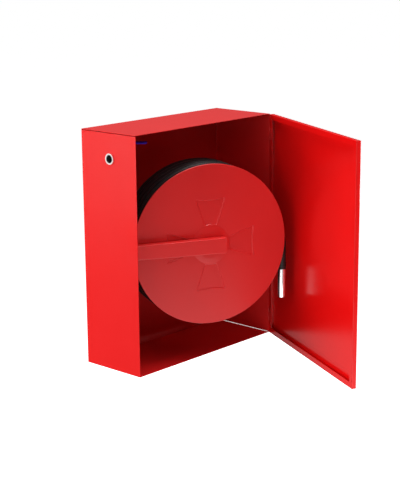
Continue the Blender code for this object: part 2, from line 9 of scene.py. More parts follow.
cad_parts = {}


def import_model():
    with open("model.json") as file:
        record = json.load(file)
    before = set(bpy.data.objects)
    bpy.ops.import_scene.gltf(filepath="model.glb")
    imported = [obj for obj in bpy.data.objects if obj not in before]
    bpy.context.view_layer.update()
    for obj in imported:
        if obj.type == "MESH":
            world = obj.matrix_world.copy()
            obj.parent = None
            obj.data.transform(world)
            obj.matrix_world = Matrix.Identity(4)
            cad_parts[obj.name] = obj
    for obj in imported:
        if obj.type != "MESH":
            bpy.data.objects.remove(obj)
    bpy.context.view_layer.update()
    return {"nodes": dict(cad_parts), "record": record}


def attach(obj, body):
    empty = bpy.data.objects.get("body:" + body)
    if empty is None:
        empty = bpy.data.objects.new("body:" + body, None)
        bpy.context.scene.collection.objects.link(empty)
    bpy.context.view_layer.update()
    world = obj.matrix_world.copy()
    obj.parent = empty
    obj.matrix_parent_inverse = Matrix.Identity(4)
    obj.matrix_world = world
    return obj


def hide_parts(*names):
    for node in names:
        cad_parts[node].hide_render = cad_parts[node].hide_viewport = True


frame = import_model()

# Fire hose reel cabinet. Metres, +Z up, in the CAD's frame: the origin is the centre of the cabinet's back.

# Cabinet
WIDTH, HEIGHT, DEPTH = 0.625, 0.750, 0.235
SHEET, BEND, GAP = 0.0015, 0.003, 0.0003
SCREW_X, SCREW_Z, SCREW_HOLE = 0.240, 0.180, 0.004
SEAM_FRONT, SEAM_BACK, SEAM_HEIGHT = -0.230, -0.030, 0.0010

# Door and hinges; the door's lengths are from the hinge axis
DOOR_OPEN = radians(62.7)
HINGE_X, HINGE_Y, HINGE_Z = 0.3107, -0.2351, 0.310
DOOR_START, DOOR_END, DOOR_HALF = 0.0019, 0.6232, 0.374
DOOR_INNER, DOOR_DEPTH, DOOR_LIP = 0.0001, 0.015, 0.018
DOOR_BEND, DOOR_CORNER, DOOR_NOTCH = 0.0017, 0.0014, 0.0004
KNUCKLE, HINGE_PIN, HINGE_HALF = 0.0020, 0.0009, 0.0202
HINGE_RELIEF = KNUCKLE + 0.0005

# Inlet, stop valve and feed hose
INLET_HOLE, INLET_FLANGE, INLET_SOCKET, INLET_MOUTH = 0.0139, 0.0045, 0.0115, 0.0123
INLET_THREAD, INLET_BARE, INLET_BAND, INLET_RING, INLET_NECK = 0.0135, 0.0129, 0.0169, 0.0200, 0.0171
VALVE = Vector((-0.262, -0.125, 0.294))
VALVE_BORE, VALVE_END, STEM, STEM_HOLE = 0.0085, -0.2400, 0.0046, 0.0049
LEVER_LENGTH, LEVER_HEIGHT, LEVER_HALF = 0.077, 0.043, 0.0016
GRIP_START, GRIP_WIDE, GRIP_HIGH = 0.026, 0.0095, 0.0045
ELBOW_BEND, ELBOW_DROP, ELBOW_START, ELBOW_FOOT = 0.012, -0.221, -0.2397, 0.268
ELBOW, FEED, FEED_WIRE, FEED_PITCH, FEED_NUT = 0.010, 0.0090, 0.0004, 0.0021, 0.0135

# Pivot and swing arm; the arm's lengths are from the pivot's axis
PIVOT = Vector((-0.287, -0.187, 0.0))
SWUNG_OUT = radians(26.0)
ARM_LENGTH, ARM_TIP, ARM_END = 0.2653, 0.3093, -0.015
ARM_FRONT, ARM_BACK, ARM_SHEET = -0.012, 0.012, 0.002
ARM_TOP, ARM_FOOT, ARM_FOOT_HUB = 0.0292, -0.0148, -0.0198
ARM_BEND, ARM_CORNER = 0.0028, 0.0055
POST, SWIVEL_NECK = 0.0095, 0.0923

# Drum; its depths are from the front disc's face
HUB_Z, DISC_FRONT = 0.0047, 0.018
DISC_RADIUS, BACK_RADIUS, DRUM_DEPTH = 0.256, 0.250, 0.142
DISC_SHEET, ROLL = 0.0014, 0.002
AXLE, AXLE_THREAD, AXLE_END = 0.014, 0.010, 0.157
TIE_RADIUS, TIE_ROD = 0.105, 0.003
CROSS_INNER, CROSS_OUTER, CROSS_DEPTH = 0.065, 0.154, 0.003
CROSS_HALF_INNER, CROSS_HALF_OUTER, CROSS_DISH = 0.0195, 0.048, 0.0053
WEDGE_OUT, WEDGE_IN = 0.0019, 0.0030
WEDGE_POINTS, WEDGE_ROWS, DISC_POINTS = 220, 9, 240

# Hose: the coil's layers and slots, its crossings in degrees, and the free end's route down
HOSE = 0.0135
LAYERS = [0.133 + 0.0273 * i for i in range(5)]
SLOTS = [0.0181 + 0.0274 * i for i in range(5)]
CROSSING, TURN_STEP, OVERRUN = 60, 360 / 56, 1.0
TAIL_START, TAIL_END = -55, -335
TAIL_ROUTE = [(0.2318, 0.0729), (0.2415, 0.0422), (0.2484, 0.0109), (0.2526, -0.0209),
              (0.254, -0.0530), (0.254, -0.0760), (0.254, -0.0980)]

# Nozzle
NOZZLE_TOP, SLEEVE_TOP, NOZZLE_END = -0.1032, -0.1250, -0.1970
NOZZLE_CORE, NOZZLE_BORE = 0.009, 0.006

WELD = 1e-7
CAMERA_AT, LENS = (-2.9895, -2.93175, 0.94875), 93.6
MIDDLE = (0, -0.1, 0)

# Where things stand: each matrix takes a piece from the frame that it is drawn in to the CAD's
HERE = Matrix.Identity(4)
UPRIGHT = Matrix.Rotation(pi / 2, 4, "X")
AT_PIVOT, AT_VALVE = Matrix.Translation(PIVOT), Matrix.Translation(VALVE)
DOOR = Matrix.Translation((HINGE_X, HINGE_Y, 0)) @ Matrix.Rotation(pi + DOOR_OPEN, 4, "Z")
SWING = AT_PIVOT @ Matrix.Rotation(-SWUNG_OUT, 4, "Z")
HUB = SWING @ Matrix.Translation((ARM_LENGTH, DISC_FRONT, HUB_Z)) @ Matrix.Rotation(-pi / 2, 4, "X")
NOZZLE = SWING @ Matrix.Translation((ARM_LENGTH + TAIL_ROUTE[-1][0], DISC_FRONT + SLOTS[0], 0))
LEVER = AT_VALVE @ Matrix.Rotation(radians(-45), 4, "Z")
INLET = Matrix.Translation((0, VALVE.y, VALVE.z)) @ Matrix.Rotation(pi / 2, 4, "Y")


# Camera, at the photograph's viewing angle

def photo_camera():
    yaw, pitch, roll = radians(47.62), radians(13.64), radians(-0.48)
    forward = Vector((sin(yaw) * cos(pitch), cos(yaw) * cos(pitch), -sin(pitch)))
    right = Vector((cos(yaw), -sin(yaw), 0))
    up = right.cross(forward)
    right = right * cos(roll) + up * sin(roll)
    up = right.cross(forward)
    data = bpy.data.cameras.new("camera")
    data.lens = LENS
    camera = bpy.data.objects.new("camera", data)
    bpy.context.scene.collection.objects.link(camera)
    turned = Matrix((right, up, -forward)).transposed()
    camera.matrix_world = Matrix.Translation(CAMERA_AT) @ turned.to_4x4()
    bpy.context.scene.camera = camera


photo_camera()
bpy.context.scene.view_settings.view_transform = "Standard"


# Materials

def noise(tree, scale, detail):
    nodes, links = tree.nodes, tree.links
    coords = nodes.new("ShaderNodeTexCoord")
    texture = nodes.new("ShaderNodeTexNoise")
    texture.inputs["Scale"].default_value = scale
    texture.inputs["Detail"].default_value = detail
    links.new(coords.outputs["Object"], texture.inputs["Vector"])
    return texture.outputs["Fac"]


def surface(name, dark, light, rough, metallic=0.0, clouds=5.0, mottle=80.0, grain=900.0, bump=0.00004,
            specular=0.5):
    """A finish with slow colour changes, uneven roughness and a fine grain in relief."""
    material = bpy.data.materials.new(name)
    material.use_nodes = True
    tree = material.node_tree
    nodes, links = tree.nodes, tree.links
    shader = nodes["Principled BSDF"]
    shader.inputs["Metallic"].default_value = metallic
    shader.inputs["Specular IOR Level"].default_value = specular
    ramp = nodes.new("ShaderNodeValToRGB")
    ends = ramp.color_ramp.elements
    ends[0].position, ends[1].position = 0.3, 0.7
    ends[0].color, ends[1].color = (*dark, 1), (*light, 1)
    links.new(noise(tree, clouds, 4.0), ramp.inputs["Fac"])
    links.new(ramp.outputs["Color"], shader.inputs["Base Color"])
    span = nodes.new("ShaderNodeMapRange")
    span.inputs["To Min"].default_value, span.inputs["To Max"].default_value = rough
    links.new(noise(tree, mottle, 5.0), span.inputs["Value"])
    links.new(span.outputs["Result"], shader.inputs["Roughness"])
    relief = nodes.new("ShaderNodeBump")
    relief.inputs["Strength"].default_value = 1.0
    relief.inputs["Distance"].default_value = bump
    links.new(noise(tree, grain, 2.0), relief.inputs["Height"])
    links.new(relief.outputs["Normal"], shader.inputs["Normal"])
    return material


def powder_coat(name, red, other, rough):
    """A smooth red coat; red and other are the ranges of its red channel and of the other two."""
    dark, light = [(r, g, g) for r, g in zip(red, other)]
    return surface(name, dark, light, rough, mottle=20.0, bump=0.000006)


RED = powder_coat("red_powder_coat", (0.76, 0.78), (0.017, 0.019), (0.25, 0.28))
DOOR_RED = powder_coat("red_door_coat", (0.77, 0.79), (0.004, 0.005), (0.22, 0.25))
# A darker copy of the red coat for the inside of the cabinet's back wall: painted shade for the deep
# interior.
PAINTED_SHADE_RED = powder_coat("red_coat_painted_shade", (0.50, 0.53), (0.010, 0.012), (0.28, 0.32))
DRUM_RED = powder_coat("red_drum_coat", (0.77, 0.80), (0.020, 0.022), (0.32, 0.36))
# A lighter copy of the red coat for the swing arm: painted light, so that its face looks brighter than the
# disc behind it.
PAINTED_LIGHT_ARM_RED = powder_coat("red_arm_coat_painted_light", (0.82, 0.85), (0.022, 0.024), (0.32, 0.36))
RUBBER = surface("black_rubber", (0.009, 0.011, 0.011), (0.013, 0.016, 0.016), (0.38, 0.5), clouds=14,
                 grain=1400, bump=0.00003, specular=0.35)
CHROME = surface("chrome", (0.86, 0.86, 0.87), (0.92, 0.92, 0.93), (0.04, 0.09), 1.0, grain=300,
                 bump=0.000004)
NICKEL = surface("nickel_plate", (0.74, 0.73, 0.70), (0.83, 0.82, 0.79), (0.22, 0.32), 1.0, clouds=60,
                 grain=1500, bump=0.00001)
BRASS = surface("brass", (0.56, 0.37, 0.13), (0.72, 0.50, 0.20), (0.22, 0.38), 1.0, clouds=40, grain=1500,
                bump=0.00002)
BRONZE = surface("sintered_bronze", (0.34, 0.22, 0.10), (0.46, 0.30, 0.14), (0.38, 0.55), 1.0, clouds=60,
                 grain=2400, bump=0.00004)
ZINC = surface("zinc_steel", (0.50, 0.51, 0.53), (0.64, 0.65, 0.66), (0.26, 0.42), 1.0, clouds=50,
               grain=1200, bump=0.00002)
CAST = surface("sand_cast_brass", (0.48, 0.32, 0.12), (0.64, 0.44, 0.18), (0.40, 0.58), 1.0, clouds=50,
               grain=1100, bump=0.00012)
BRAID = surface("braided_wire", (0.42, 0.43, 0.44), (0.68, 0.69, 0.70), (0.22, 0.36), 1.0, clouds=160,
                grain=2200, bump=0.00004)
BLUE = surface("blue_vinyl", (0.020, 0.002, 0.50), (0.028, 0.003, 0.62), (0.40, 0.5), clouds=40, grain=1500,
               bump=0.00002, specular=0.2)
SATIN = surface("satin_nickel", (0.80, 0.74, 0.73), (0.86, 0.80, 0.79), (0.36, 0.46), 0.3, clouds=60,
                grain=1500, bump=0.00001)
# Near black for the inside of the inlet's bore: partly thread sealant, partly painted shade in the hollow.
SEALANT_AND_SHADE = surface("bore_sealant_and_painted_shade", (0.012, 0.010, 0.010), (0.020, 0.017, 0.016), (0.5, 0.65), clouds=60, grain=1500,
               bump=0.00002, specular=0.2)
BLACK = surface("black_plastic", (0.010, 0.010, 0.011), (0.018, 0.018, 0.019), (0.36, 0.5), clouds=40,
                grain=1800, bump=0.00005)

FINISHES = {"red_powder_coat": RED, "red_drum_coat": DRUM_RED, "black_rubber": RUBBER, "chrome": CHROME,
            "nickel_plate": NICKEL, "brass": BRASS, "bronze": BRONZE, "blue_plastic": BLUE,
            "black_plastic": BLACK, "zinc_steel": ZINC}
SLOT_OF = {part["node"]: part["material_slot"] for part in frame["record"]["subparts"]}
for node, obj in frame["nodes"].items():
    for place in obj.material_slots:
        place.material = FINISHES[SLOT_OF[node]]


# Modelling helpers

def piece(name, mesh, body, nodes, material=None, where=HERE, weighted=True):
    """A mesh made in its own frame, put in place in the row frame, that stands for CAD nodes."""
    mesh.transform(where)
    slot = SLOT_OF[nodes[0]]
    mesh.materials.clear()
    mesh.materials.append(material or FINISHES[slot])
    obj = bpy.data.objects.new(name, mesh)
    bpy.context.scene.collection.objects.link(obj)
    if weighted:
        normals = obj.modifiers.new("weighted normals", "WEIGHTED_NORMAL")
        normals.keep_sharp = True
    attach(obj, body)
    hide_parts(*nodes)
    return obj


def closed(shape, name, sharp=40):
    """The bmesh as a mesh, welded, facing outwards and smooth up to the sharp angle."""
    bmesh.ops.remove_doubles(shape, verts=shape.verts, dist=WELD)
    bmesh.ops.dissolve_degenerate(shape, edges=shape.edges, dist=WELD)
    bmesh.ops.recalc_face_normals(shape, faces=shape.faces)
    mesh = bpy.data.meshes.new(name)
    shape.to_mesh(mesh)
    shape.free()
    mesh.shade_smooth()
    mesh.set_sharp_from_angle(angle=radians(sharp))
    return mesh


def skin(shape, rows, ring=False):
    """Four-sided faces between each row of vertices and the next."""
    for a, b in zip(rows, rows[1:] + rows[:1] if ring else rows[1:]):
        for i in range(len(a)):
            j = (i + 1) % len(a)
            shape.faces.new((a[i], a[j], b[j], b[i]))


def loft(name, loops, ring=False, sharp=40):
    """A skin over loops of equally many points, capped at both ends unless it closes on itself."""
    shape = bmesh.new()
    rows = [[shape.verts.new(p) for p in loop] for loop in loops]
    skin(shape, rows, ring)
    if not ring:
        shape.faces.new(rows[0])
        shape.faces.new(rows[-1])
    return closed(shape, name, sharp)


def slab(name, left, front, right, back, low, high):
    """A plain box."""
    corners = [(left, front), (right, front), (right, back), (left, back)]
    return loft(name, [[(x, y, z) for x, y in corners] for z in (low, high)])


def soften(points, radius, steps=3, close=True):
    """The outline with each corner rounded off, over less than half of each side."""
    points = [Vector(p) for p in points]
    out = []
    for i, corner in enumerate(points):
        if not close and i in (0, len(points) - 1):
            out.append(corner)
            continue
        to_before, to_after = points[i - 1] - corner, points[(i + 1) % len(points)] - corner
        reach = min(radius, to_before.length * 0.45, to_after.length * 0.45)
        start = corner + to_before.normalized() * reach
        end = corner + to_after.normalized() * reach
        for k in range(steps + 1):
            t = k / steps
            out.append(start * (1 - t) ** 2 + corner * 2 * t * (1 - t) + end * t * t)
    return out


def arc(centre, radius, start, end, steps):
    return [(centre[0] + radius * cos(start + (end - start) * i / steps),
             centre[1] + radius * sin(start + (end - start) * i / steps)) for i in range(steps + 1)]


def rounded_box(left, low, right, high, radius, steps=4):
    corners = [(right - radius, low + radius, -90), (right - radius, high - radius, 0),
               (left + radius, high - radius, 90), (left + radius, low + radius, 180)]
    outline = []
    for x, y, start in corners:
        outline += arc((x, y), radius, radians(start), radians(start + 90), steps)
    return outline


def spun(name, profile, steps=64, rounding=0.0, ring=True, sharp=40):
    """A shape turned about its own z from (radius, z) rows; a radius may depend on the angle and z."""
    if rounding:
        profile = [tuple(p) for p in soften(profile, rounding, 3, ring)]
    angles = [tau * i / steps for i in range(steps)]
    loops = []
    for r, z in profile:
        reach = [r(a, z) if callable(r) else r for a in angles]
        loops.append([(d * cos(a), d * sin(a), z) for d, a in zip(reach, angles)])
    return loft(name, loops, ring, sharp)


def edge_steps(radius, turns):
    """How far an edge of that radius has come in and gone back at each of those angles."""
    return [(radius * (1 - cos(radians(turn))), radius * (1 - sin(radians(turn)))) for turn in turns]


def flat_piece(name, outline_at, low, high, edge):
    """A plate between two heights whose edges are rounded; outline_at(inset) is its outline."""
    rows = [(inset, low + rise) for inset, rise in edge_steps(edge, (90, 60, 30, 0))]
    rows += [(inset, high - rise) for inset, rise in edge_steps(edge, (0, 30, 60, 90))]
    return loft(name, [[(x, y, z) for x, y in outline_at(inset)] for inset, z in rows])


def placed(mesh, where):
    """The mesh itself, moved."""
    mesh.transform(where)
    return mesh


def rod(radius, low, high, steps=32):
    return spun("rod", [(radius, low), (radius, high)], steps, ring=False)


def carved(mesh, cutters, operation="DIFFERENCE", sharp=40):
    """The mesh after exact booleans with other meshes."""
    obj = bpy.data.objects.new("carved", mesh)
    bpy.context.scene.collection.objects.link(obj)
    others = []
    for other in cutters:
        tool = bpy.data.objects.new("tool", other)
        bpy.context.scene.collection.objects.link(tool)
        others.append(tool)
        step = obj.modifiers.new("cut", "BOOLEAN")
        step.operation = operation
        step.object = tool
    bpy.context.view_layer.update()
    graph = bpy.context.evaluated_depsgraph_get()
    result = bpy.data.meshes.new_from_object(obj.evaluated_get(graph))
    for used in (obj, *others):
        bpy.data.objects.remove(used)
    shape = bmesh.new()
    shape.from_mesh(result)
    return closed(shape, mesh.name, sharp)


def refined(node, width, sharp=50):
    """A CAD node's shape with its hard edges rounded."""
    shape = bmesh.new()
    shape.from_mesh(frame["nodes"][node].data)
    bmesh.ops.remove_doubles(shape, verts=shape.verts, dist=1e-6)
    bmesh.ops.dissolve_limit(shape, angle_limit=radians(0.5), verts=shape.verts, edges=shape.edges)
    hard = [e for e in shape.edges if len(e.link_faces) == 2 and e.calc_face_angle() > radians(38)]
    bmesh.ops.bevel(shape, geom=hard, offset=width, offset_type="OFFSET", segments=2, profile=0.5,
                    affect="EDGES", clamp_overlap=True)
    return closed(shape, node, sharp)


def hexagon(corner, limit):
    """A hexagon's radius at each angle, no more than the limit that its corners are turned off to."""
    flat = corner * cos(pi / 6)
    return lambda a, z: min(flat / cos((a % (pi / 3)) - pi / 6), limit)


def hex_end(corner, level, direction):
    """Rows of a hexagon's end, whose corners are turned off at 30 degrees, from its face inwards."""
    flat = corner * cos(pi / 6)
    cut, fall = corner - flat, (corner - flat) * 0.58 * direction
    return [(hexagon(corner, flat + cut * t), level + fall * t) for t in (0.0, 0.25, 0.5, 0.75, 1.0)]


def hex_nut(name, corner, bore, low, high):
    edge = 0.0005
    rows = [(bore, low + edge), (bore + edge, low), *hex_end(corner, low, 1)]
    rows += [*reversed(hex_end(corner, high, -1)), (bore + edge, high), (bore, high - edge)]
    return spun(name, rows, 72, sharp=28)


def threaded(core, pitch, start, end):
    """Rows of a screw thread, as a helix of that pitch on a bar of radius core."""
    depth = pitch * 0.55
    rows_per_turn = 6

    def ridge(a, z):
        tooth = abs(((z / pitch - a / tau) % 1.0) * 2 - 1)
        fade = max(0.0, min(1.0, (z - start) / pitch, (end - z) / pitch))
        return core - depth * tooth * fade

    count = round((end - start) / pitch * rows_per_turn)
    return [(ridge, start + (end - start) * i / count) for i in range(count + 1)]


def spline(points, spacing):
    """Points along a Catmull-Rom curve through the given ones."""
    points = [Vector(p) for p in points]
    ends = [points[0] * 2 - points[1], *points, points[-1] * 2 - points[-2]]
    route = []
    for before, start, end, after in zip(ends, ends[1:], ends[2:], ends[3:]):
        steps = max(1, round((end - start).length / spacing))
        for i in range(steps):
            t = i / steps
            route.append(0.5 * (2 * start + (end - before) * t
                                + (2 * before - 5 * start + 4 * end - after) * t ** 2
                                + (3 * start - before - 3 * end + after) * t ** 3))
    return route + [points[-1]]


def swept(name, path, radius_at, sides=32, sharp=60):
    """A tube along a path; radius_at(angle, distance) is its surface."""
    path = [Vector(p) for p in path]
    side = Vector((0, 1, 0))
    travelled = 0.0
    loops = []
    for i, point in enumerate(path):
        ahead = (path[min(i + 1, len(path) - 1)] - path[max(i - 1, 0)]).normalized()
        side = (side - ahead * side.dot(ahead)).normalized()
        other = ahead.cross(side)
        if i:
            travelled += (point - path[i - 1]).length
        loop = []
        for k in range(sides):
            a = tau * k / sides
            loop.append(point + (side * cos(a) + other * sin(a)) * radius_at(a, travelled))
        loops.append(loop)
    return loft(name, loops, False, sharp)


# Hose: the coil on the drum, then the last turn and the tail with the nozzle

def hose_curve(name, points, body, node):
    curve = bpy.data.curves.new(name, "CURVE")
    curve.dimensions = "3D"
    curve.bevel_depth = HOSE
    curve.bevel_resolution = 6
    curve.use_fill_caps = True
    line = curve.splines.new("POLY")
    line.points.add(len(points) - 1)
    for point, co in zip(line.points, points):
        point.co = (*co, 1)
    line.use_smooth = True
    curve.materials.append(RUBBER)
    obj = bpy.data.objects.new(name, curve)
    bpy.context.scene.collection.objects.link(obj)
    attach(obj, body)
    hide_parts(node)
    return obj


def on_drum(angle, radius, depth):
    """A place on the drum, from its angle in degrees, its radius and its depth behind the front disc."""
    a = radians(angle)
    return HUB @ Vector((radius * cos(a), -radius * sin(a), depth))


def coil_points():
    """Five layers of five turns from the drum's core outwards; each turn steps to the next slot in a
    crossing, and each layer climbs onto the last before its own crossings."""
    knots = []
    end = TAIL_START - 8 * CROSSING
    for number, radius in enumerate(LAYERS):
        slots = SLOTS[::-1] if number % 2 == 0 else SLOTS
        knots.append((end - CROSSING if number else end, slots[0], radius))
        for before, after in zip(slots, slots[1:]):
            end -= 360
            knots.append((end + CROSSING, before, radius))
            knots.append((end, after, radius))
        if radius != LAYERS[-1]:
            end -= 360 - 2 * CROSSING
            knots.append((end, slots[-1], radius))
    points = []
    angle = knots[0][0]
    stop = knots[-1][0]
    index = 0
    while angle > stop - OVERRUN:
        while index < len(knots) - 2 and angle < knots[index + 1][0]:
            index += 1
        (a, depth_a, radius_a), (b, depth_b, radius_b) = knots[index], knots[index + 1]
        t = min(1.0, max(0.0, (a - angle) / (a - b)))
        t = (1 - cos(pi * t)) / 2
        points.append(on_drum(angle, radius_a + (radius_b - radius_a) * t, depth_a + (depth_b - depth_a) * t))
        angle -= TURN_STEP
    points.append(on_drum(stop - OVERRUN, LAYERS[-1], SLOTS[0]))
    return points


def tail_points():
    """The last turn on the drum, then the route that the free end takes down to the nozzle."""
    steps = 44
    turn = [(LAYERS[-1] * cos(radians(a)), LAYERS[-1] * sin(radians(a)))
            for a in (TAIL_START + (TAIL_END - TAIL_START) * i / steps for i in range(steps + 1))]
    route = spline([(*turn[-2], 0), (*turn[-1], 0), *[(x, z, 0) for x, z in TAIL_ROUTE]], 0.009)
    free = [p for p in route if p.y < turn[-1][1] - 0.002 and p.x > turn[-2][0]]
    flat = turn + [(p.x, p.y) for p in free]
    return [HUB @ Vector((x, -z, SLOTS[0])) for x, z in flat]


COIL, TAIL = coil_points(), tail_points()
hose_coil = hose_curve("hose_coil_wound", COIL, "drum", "hose_coil")
hose_tail = hose_curve("hose_tail_hanging", TAIL, "swing_arm", "hose_tail")


# Nozzle

def nozzle_pieces():
    low, high = NOZZLE_TOP + GAP, HUB_Z + TAIL_ROUTE[-1][1] - GAP
    rib, count = 0.0005, 5
    ribs = [(NOZZLE_BORE, low), (HOSE, low)]
    for i in range(count):
        z = low + (high - low) * (i + 0.5) / count
        ribs += [(HOSE, z - rib), (HOSE - rib, z), (HOSE, z + rib)]
    ribs += [(HOSE, high), (NOZZLE_BORE, high)]
    ferrule = piece("hose_ferrule_ribbed", spun("ferrule", ribs, 64, 0.0002), "swing_arm", ["hose_ferrule"],
                    where=NOZZLE)

    seat = NOZZLE_END + 0.0087
    body = spun("body", [(NOZZLE_BORE, NOZZLE_TOP), (HOSE, NOZZLE_TOP), (HOSE, SLEEVE_TOP),
                         (NOZZLE_CORE, SLEEVE_TOP), (NOZZLE_CORE, seat), (NOZZLE_BORE, seat)], 96, 0.0003)
    body = piece("nozzle_body_turned", body, "swing_arm", ["nozzle_body"], where=NOZZLE)

    bore, top = NOZZLE_CORE + GAP, SLEEVE_TOP - GAP
    outer = [(HOSE - GAP, top), (HOSE, top - GAP), (HOSE, NOZZLE_END + 0.0014),
             (HOSE - GAP, NOZZLE_END + 0.0005), (HOSE - 0.0010, NOZZLE_END),
             (NOZZLE_BORE + 0.0016, NOZZLE_END), (NOZZLE_BORE, NOZZLE_END + 0.0014),
             (NOZZLE_BORE, seat - GAP), (bore, seat - GAP), (bore, top)]
    sleeve = piece("nozzle_sleeve_turned", spun("sleeve", outer, 96, sharp=50), "nozzle_sleeve",
                   ["nozzle_sleeve"], where=NOZZLE)
    return [ferrule, body, sleeve]


ON_TAIL = nozzle_pieces()


# Cabinet

def cabinet():
    half, inner = WIDTH / 2, WIDTH / 2 - SHEET
    wall = HEIGHT / 2 - SHEET - GAP
    centre = half - BEND
    left = [(-half, -DEPTH), *arc((-centre, -BEND), BEND, pi, pi / 2, 8)]
    right = [*arc((centre, -BEND), BEND, pi / 2, 0, 8), (half, -DEPTH)]
    back = [(inner, -DEPTH), *arc((centre, -BEND), BEND - SHEET, 0, pi / 2, 8)]
    back += [*arc((-centre, -BEND), BEND - SHEET, pi / 2, pi, 8), (-inner, -DEPTH)]
    outline = left + right + back
    shell = loft("cabinet", [[(x, y, z) for x, y in outline] for z in (-wall, wall)])

    past = 0.002
    low, high = -wall - past, wall + past
    tools = [slab("seam", inner - past, SEAM_FRONT, half + past, SEAM_BACK, low, SEAM_HEIGHT - wall),
             slab("groove", -half - past, -DEPTH - past, -inner + past, -0.004, wall - 0.0016, high),
             placed(rod(INLET_HOLE, -half - 0.01, -half + 0.01, 48), INLET)]
    for x in (-SCREW_X, SCREW_X):
        for z in (-SCREW_Z, SCREW_Z):
            tools.append(placed(rod(SCREW_HOLE, -0.01, 0.01), Matrix.Translation((x, 0, z)) @ UPRIGHT))
    tools += hinge_reliefs(HINGE_X, HINGE_Y)
    body = piece("cabinet_shell", carved(shell, tools), "cabinet", ["cabinet_body"])
    # The inner face of the back wall takes the darker copy of the coat: painted shade inside the cabinet.
    body.data.materials.append(PAINTED_SHADE_RED)
    for side in body.data.polygons:
        side.material_index = int(side.normal.y < -0.9 and side.center.y > -0.01)

    def panel(inset):
        corners = [(-half, -DEPTH, 2 * GAP), (half, -DEPTH, 2 * GAP), (half, 0, BEND), (-half, 0, BEND)]
        points = []
        for (x, y, r), start in zip(corners, (180, 270, 0, 90)):
            middle = (x - r if x > 0 else x + r, y - r if y == 0 else y + r)
            points += arc(middle, max(r - inset, 0.0001), radians(start), radians(start + 90), 6)
        return points

    for name, low in (("top_panel", HEIGHT / 2 - SHEET), ("bottom_panel", -HEIGHT / 2)):
        piece(name + "_sheet", flat_piece(name, panel, low, low + SHEET, 0.00045), "cabinet", [name])


def hinge_reliefs(x, y):
    """Cutters that clear the two hinges' knuckles."""
    half = HINGE_HALF + 0.0001
    heights = (-HINGE_Z, HINGE_Z)
    return [placed(rod(HINGE_RELIEF, -half, half), Matrix.Translation((x, y, z))) for z in heights]


def door():
    """A pan folded from one sheet: its outside, its sides, their return lips and then its inside."""
    outer, back = DOOR_INNER + DOOR_DEPTH, DOOR_INNER + SHEET
    inside = DOOR_BEND - SHEET
    small = 0.0004

    def loop(inset, y, corner=small, notch=0.0):
        """An outline of the pan, whose corners may be notched; its hinge edge stays straight in front."""
        left = DOOR_START if inset < DOOR_LIP / 2 and y < back else DOOR_START + inset
        points = rounded_box(left, inset - DOOR_HALF, DOOR_END - inset, DOOR_HALF - inset, corner, 4)
        return [(x, y + (notch if i % 5 == 2 else 0.0), z) for i, (x, z) in enumerate(points)]

    loops = [loop(DOOR_BEND, outer, 0.0003)]
    for inset, rise in edge_steps(DOOR_BEND, (75, 60, 45, 30, 15, 0)):
        loops.append(loop(inset, outer - rise, DOOR_CORNER))
    for inset, rise in edge_steps(DOOR_BEND, (0, 15, 30, 45)):
        loops.append(loop(inset, DOOR_INNER + rise, DOOR_CORNER))
    (inset, rise), *rest = edge_steps(DOOR_BEND, (60, 75, 90))
    loops.append(loop(inset, DOOR_INNER + rise))
    loops += [loop(inset, DOOR_INNER + rise, small, DOOR_NOTCH) for inset, rise in rest]
    loops += [loop(DOOR_LIP - 0.0004, DOOR_INNER, small, DOOR_NOTCH),
              loop(DOOR_LIP - 0.0001, DOOR_INNER + 0.0002, small, 0.0003),
              loop(DOOR_LIP, DOOR_INNER + 0.0006),
              loop(DOOR_LIP, back - 0.0005),
              loop(DOOR_LIP - 0.0004, back)]
    for inset, rise in edge_steps(inside, (90, 60, 30, 0)):
        loops.append(loop(SHEET + inset, back + rise))
    for inset, rise in edge_steps(inside, (0, 30, 60, 90)):
        loops.append(loop(SHEET + inset, outer - SHEET - rise))
    pan = carved(loft("door", loops, False, 50), hinge_reliefs(0, 0), sharp=50)
    piece("door_pan", pan, "door", ["door_panel"], DOOR_RED, DOOR)


def hinges():
    narrow = HINGE_PIN - GAP
    for end, z in (("lower", -HINGE_Z), ("upper", HINGE_Z)):
        for side, body in (("fixed", "cabinet"), ("door", "door")):
            leaf = f"hinge_leaf_{side}_{end}"
            piece(f"hinge_{side}_{end}", refined(leaf, 0.0002), body, [leaf])
        pin = [(0, -HINGE_HALF), (narrow, -HINGE_HALF), (HINGE_PIN, GAP - HINGE_HALF),
               (HINGE_PIN, HINGE_HALF - GAP), (narrow, HINGE_HALF), (0, HINGE_HALF)]
        piece("hinge_rod_" + end, spun("pin", pin, 24, ring=False), "cabinet", ["hinge_pin_" + end],
              where=Matrix.Translation((HINGE_X, HINGE_Y, z)))


# Inlet, stop valve and feed hose

